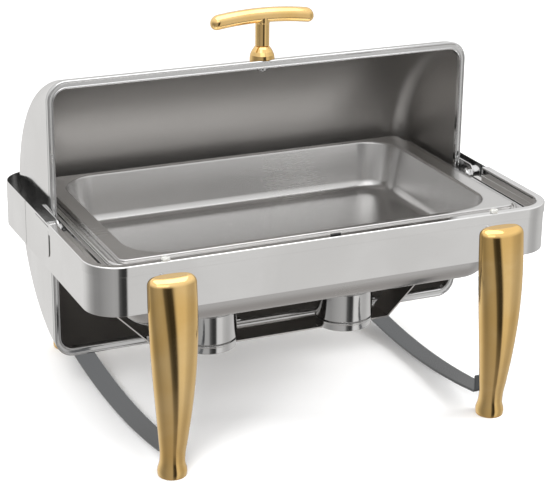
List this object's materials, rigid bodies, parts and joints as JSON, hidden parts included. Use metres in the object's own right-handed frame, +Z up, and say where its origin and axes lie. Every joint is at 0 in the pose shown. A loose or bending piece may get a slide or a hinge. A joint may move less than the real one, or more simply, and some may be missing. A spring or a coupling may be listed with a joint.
{
  "type": "roll-top chafing dish",
  "caption": "Roll-top chafing dish food warmer: rolled-open drum cover with T handle, oblong food pan over a water pan, band frame on tapered legs, fuel burners on a shelf.",
  "frame": {"origin": "centre of the footprint on the surface that the feet stand on", "axes": "+X along the length, to the right of a guest who faces the dish; -Y is the guest's side, towards which the open cover faces; +Z up"},
  "size_m": [0.6182, 0.4744, 0.5],
  "materials": {
    "mirror_steel": "mirror-polished stainless steel",
    "satin_steel": "satin stainless steel",
    "pan_steel": "satin stainless steel with polished edges",
    "gold": "polished gold plate on cast aluminium",
    "black_rubber": "matt black",
    "clear_silicone": "translucent, glossy",
    "fuel_can": "plain bright can"
  },
  "bodies": {
    "frame": {"front_band": "mirror_steel", "rear_band": "mirror_steel", "front_trim": "mirror_steel", "pivot_plate_right": "mirror_steel", "pivot_plate_left": "mirror_steel", "stretcher_right": "mirror_steel", "stretcher_left": "mirror_steel", "burner_shelf": "mirror_steel", "pan_carrier": "satin_steel", "leg_bolt_low_front_right": "satin_steel", "leg_bolt_low_front_left": "satin_steel", "leg_bolt_low_rear_right": "satin_steel", "leg_bolt_low_rear_left": "satin_steel", "leg_bolt_high_front_right": "satin_steel", "leg_bolt_high_front_left": "satin_steel", "leg_bolt_high_rear_right": "satin_steel", "leg_bolt_high_rear_left": "satin_steel", "stretcher_screw_front_right": "satin_steel", "stretcher_screw_front_left": "satin_steel", "stretcher_screw_rear_right": "satin_steel", "stretcher_screw_rear_left": "satin_steel", "hub_right": "satin_steel", "hub_left": "satin_steel", "cap_nut_right": "satin_steel", "cap_nut_left": "satin_steel", "stop_pin_right": "satin_steel", "stop_pin_left": "satin_steel", "leg_front_right": "gold", "leg_front_left": "gold", "leg_rear_right": "gold", "leg_rear_left": "gold", "pivot_washer_right": "black_rubber", "pivot_washer_left": "black_rubber", "bumper_centre": "black_rubber", "bumper_right": "clear_silicone", "bumper_left": "clear_silicone", "burner_tray_right": "mirror_steel", "burner_tray_left": "mirror_steel"},
    "water_pan": {"water_pan": "pan_steel"},
    "food_pan": {"food_pan": "pan_steel"},
    "cover": {"cover_shell": "mirror_steel", "cover_rim": "satin_steel", "cover_arm_right": "satin_steel", "cover_arm_left": "satin_steel", "handle_base": "gold", "handle_post": "gold", "handle_bar": "gold", "handle_screw": "satin_steel"},
    "burner_right": {"burner_cup_right": "mirror_steel", "fuel_can_right": "fuel_can", "burner_lid_right": "mirror_steel", "damper_rivet_right": "satin_steel"},
    "damper_right": {"damper_right": "satin_steel"},
    "burner_left": {"burner_cup_left": "mirror_steel", "fuel_can_left": "fuel_can", "burner_lid_left": "mirror_steel", "damper_rivet_left": "satin_steel"},
    "damper_left": {"damper_left": "satin_steel"}
  },
  "joints": [
    {"name": "cover_roll", "type": "hinge", "parent": "frame", "child": "cover", "pos_m": [0, -0.003, 0.255], "axis": [1, 0, 0], "range_deg": [0, 90]},
    {"name": "water_pan_lift", "type": "slide", "parent": "frame", "child": "water_pan", "axis": [0, 0, 1], "range_m": [0, 0.009]},
    {"name": "food_pan_lift", "type": "slide", "parent": "water_pan", "child": "food_pan", "axis": [0, 0, 1], "range_m": [0, 0.016]},
    {"name": "burner_right_lift", "type": "slide", "parent": "frame", "child": "burner_right", "axis": [0, 0, 1], "range_m": [0, 0.03]},
    {"name": "burner_left_lift", "type": "slide", "parent": "frame", "child": "burner_left", "axis": [0, 0, 1], "range_m": [0, 0.03]},
    {"name": "damper_right_swivel", "type": "hinge", "parent": "burner_right", "child": "damper_right", "pos_m": [0.125, -0.02, 0.129], "axis": [0, 0, 1], "range_deg": [0, 100]},
    {"name": "damper_left_swivel", "type": "hinge", "parent": "burner_left", "child": "damper_left", "pos_m": [-0.071, -0.02, 0.129], "axis": [0, 0, 1], "range_deg": [0, 100]}
  ]
}
